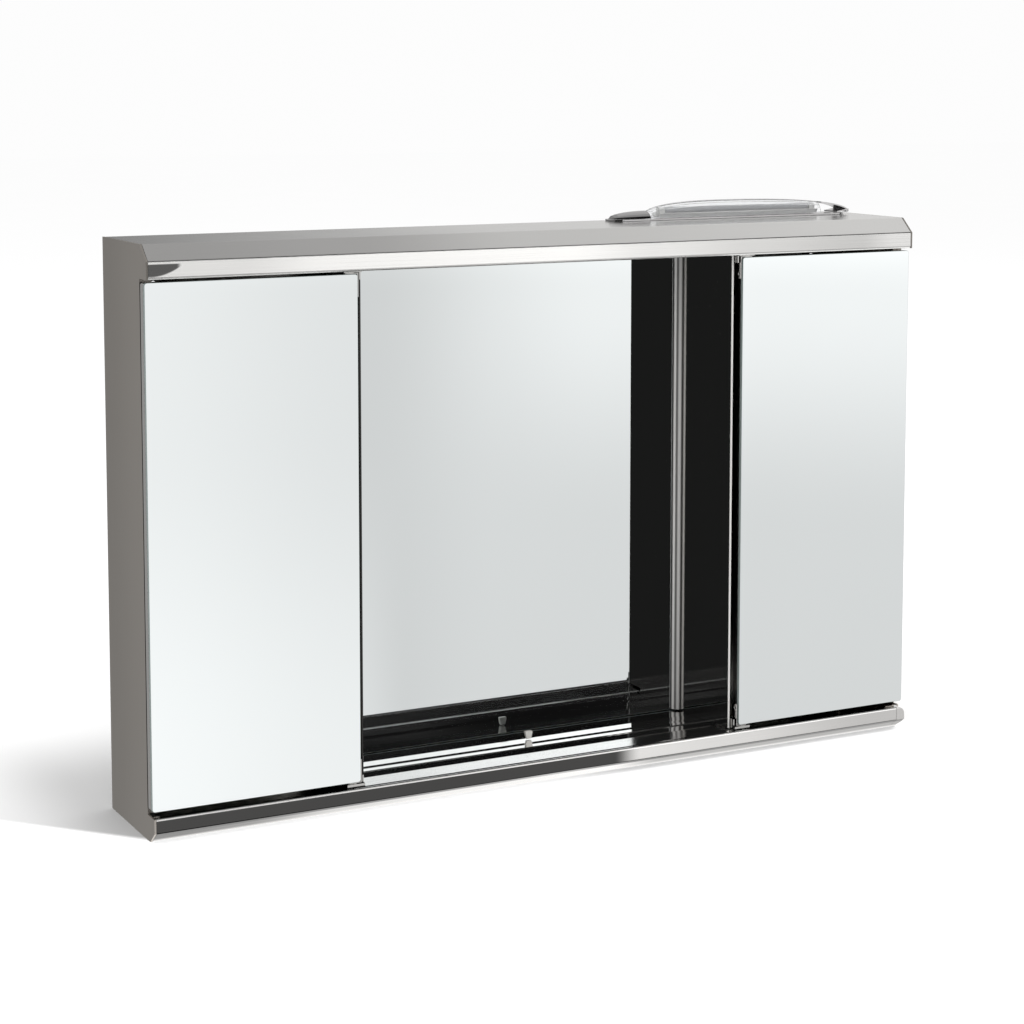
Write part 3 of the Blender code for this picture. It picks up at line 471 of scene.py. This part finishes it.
dress(moulded("white moulding", (0.86, 0.86, 0.84), 0.35), "white_plastic", "catch_housing_left",
      "catch_housing_right", "lamp_holder_left", "lamp_holder_right", "switch_box", "switch_rocker")
dress(moulded("nylon bush", (0.83, 0.82, 0.78), 0.5), "nylon", "mirror_clip",
      *[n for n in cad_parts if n.startswith("pivot_bush")])
dress(moulded("rubber", (0.03, 0.03, 0.03), 0.75), "rubber", "cable_gland",
      *[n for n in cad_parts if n.startswith("door_bumper")])
dress(moulded("ferrite", (0.09, 0.09, 0.095), 0.5), "magnet", "catch_magnet_left", "catch_magnet_right")
dress(moulded("frosted tube", (0.55, 0.55, 0.565), 0.3), "lamp_glass", "lamp_tube")
dress(clear_finish(), "clear_acrylic", "lamp_cover")

# %% [markdown]
# ## The room in the mirrors
#
# Mirrors show the studio: a large white sheet at the front right, and darkness by the camera. Both are
# painted here on the inside of one large ball round the cabinet, which only reflections see.
# Its brightness is worked out from the direction: azimuth from the front towards the right, and elevation.


# %% The reflected studio
def only_reflections(thing):
    thing.visible_camera = False
    thing.visible_diffuse = False
    thing.visible_transmission = False
    thing.visible_volume_scatter = False
    thing.visible_shadow = False


def studio_finish():
    black = {"Base Color": (0, 0, 0, 1), "Roughness": 1.0, "Specular IOR Level": 0.0}
    finish = Finish("painted studio", {**black, "Emission Strength": 1.0})
    point, (x, y, z) = finish.place()
    around = finish.maths("ARCTAN2", x, y * -1.0) * (180 / pi)
    away = finish.maths("SQRT", x * x + y * y)
    above = finish.maths("ARCTAN2", z, away) * (180 / pi)
    sheet = finish.ramp(around, 17, 23.5, 0.89, 0.80) + finish.ramp(around, 23.5, 27, 0.0, 0.06)
    sheet = sheet - finish.ramp(around, 30.5, 33.5, 0.0, 0.14)
    sheet = sheet + finish.ramp(around, 23.5, 30, 0.0, 0.23) * finish.ramp(above, -10.8, -4.6)
    sheet = sheet + finish.ramp(around, 23.2, 24.6, 0.11, -0.02) * finish.ramp(above, -17, -8, 1.0, 0.0)
    sheet = sheet + finish.ramp(above, -4.8, -1.5, 0.0, 0.35)
    lit = finish.band(around, 11, 66, 2.0) * finish.band(above, -32, 12.6, 0.7)
    stripes = finish.noise(finish.node("CombineXYZ", values={2: above}), (1, 1, 1), 0.7, 3.0)
    gloom = finish.ramp(stripes, 0.5, 0.62, 0.0, 0.14) * finish.band(above, 12.6, 40, 1.0)
    gloom = gloom * finish.ramp(around, 22, 28.5, 1.0, 0.05) + finish.ramp(above, 6, 14, 0.017, 0.005)
    overhead = finish.ramp(above, 42, 55) * 0.5
    right = finish.ramp(around, 66, 85) * finish.ramp(around, 150, 175, 1.0, 0.0) * 0.7
    behind = finish.ramp(around, -66, -74) * 0.34 + finish.ramp(around, 150, 175) * 0.34
    under = finish.ramp(above, -18, -28) * finish.ramp(around, 60, 80) * 1.08
    level = gloom
    for light in (overhead, right, behind, under):
        level = finish.maths("MAXIMUM", level, light)
    level = level * (1.0 - lit) + sheet * lit
    finish.drive("Emission Color", finish.scaled((1.0, 0.995, 0.985), level))
    return finish


bpy.ops.mesh.primitive_uv_sphere_add(segments=48, ring_count=24, radius=40)
studio = bpy.context.object
studio.name = "studio"
studio.data.materials.append(studio_finish().material)
only_reflections(studio)

# %% [markdown]
# ## Floor, light and world
#
# The cabinet stands on a white floor in a white room, lit by a key lamp at the right and a weak fill at the
# left. Their shadow alone is too faint, so the floor is darkened in a soft patch at the left. In front it
# glows a little, so that it stays white up to the foot. Reflections skip the floor.


# %% Floor and lights
floor_finish = Finish("white floor", {"Roughness": 1.0, "Specular IOR Level": 0.0})
floor_point, (floor_x, floor_y, _) = floor_finish.place()
floor_cloud = floor_finish.noise(floor_point, (1, 1, 1), 3.0)
left_end, front_edge = size_at_start[0][0], size_at_start[0][1]
past_end = floor_finish.maths("MINIMUM", floor_x - left_end, 0.0)
behind_front = floor_finish.ramp(floor_y + past_end * 1.08 - front_edge, 11 * MM, 29 * MM)
patch = floor_finish.ramp(floor_x, left_end - 0.105, left_end) * floor_finish.ramp(floor_x, 0.2, -0.3)
patch = patch * floor_finish.ramp(floor_y, 0.34, 0.13) * behind_front
glow = (1.0 - behind_front) * floor_finish.ramp(floor_y, 0.14, 0.06) * floor_finish.ramp(floor_y, -0.5, -0.1)
floor_tone = (0.99 + floor_cloud * 0.01) * (1.0 - patch * 0.33)
floor_finish.drive("Base Color", floor_finish.scaled((1, 1, 1), floor_tone))
floor_finish.shader.inputs["Emission Strength"].default_value = 1.0
at_foot = floor_finish.ramp(floor_y - front_edge, -9 * MM, 3 * MM) * floor_finish.ramp(floor_x, 0.08, -0.02)
floor_finish.drive("Emission Color", floor_finish.scaled((1, 1, 1), glow * (0.32 + at_foot * 0.3)))
bpy.ops.mesh.primitive_plane_add(size=30, location=(0, 0, -0.4 * MM))
floor = bpy.context.object
floor.name = "floor"
floor.data.materials.append(floor_finish.material)
floor.visible_glossy = False


def soft_lamp(name, place, aim, side, power):
    data = bpy.data.lights.new(name, "AREA")
    data.size = side
    data.energy = power
    lamp = bpy.data.objects.new(name, data)
    lamp.location = place
    lamp.rotation_euler = (Vector(aim) - Vector(place)).to_track_quat("-Z", "Y").to_euler()
    lamp.visible_glossy = False
    bpy.context.scene.collection.objects.link(lamp)


soft_lamp("key lamp", (3.6, -0.5, 2.2), (0, 0, 0.2), 1.0, 60)
soft_lamp("fill lamp", (-1.5, -3.0, 2.6), (0, 0, 0.2), 2.4, 15)

world = bpy.data.worlds.new("white room")
world.use_nodes = True
world.node_tree.nodes["Background"].inputs[0].default_value = (0.98, 0.98, 0.98, 1)
bpy.context.scene.world = world
bpy.context.scene.view_settings.view_transform = "Standard"
print("floor, two lamps and a white room")

# %% [markdown]
# ## Camera
#
# A long lens from the front left, a little above the cabinet, looking almost level. The lens is shifted down
# so that upright edges stay nearly upright.

# %% The camera
yaw, pitch = radians(27.264), radians(5.739)
looking = Vector((sin(yaw) * cos(pitch), cos(yaw) * cos(pitch), -sin(pitch)))
lens = bpy.data.cameras.new("camera")
lens.lens = 82.31
lens.sensor_width = 36
lens.shift_y = -0.2002
camera = bpy.data.objects.new("camera", lens)
camera.location = (-0.9777, -1.85965, 0.6354)
camera.rotation_euler = looking.to_track_quat("-Z", "Y").to_euler()
bpy.context.scene.collection.objects.link(camera)
bpy.context.scene.camera = camera
print("camera at", [round(v, 3) for v in camera.location])
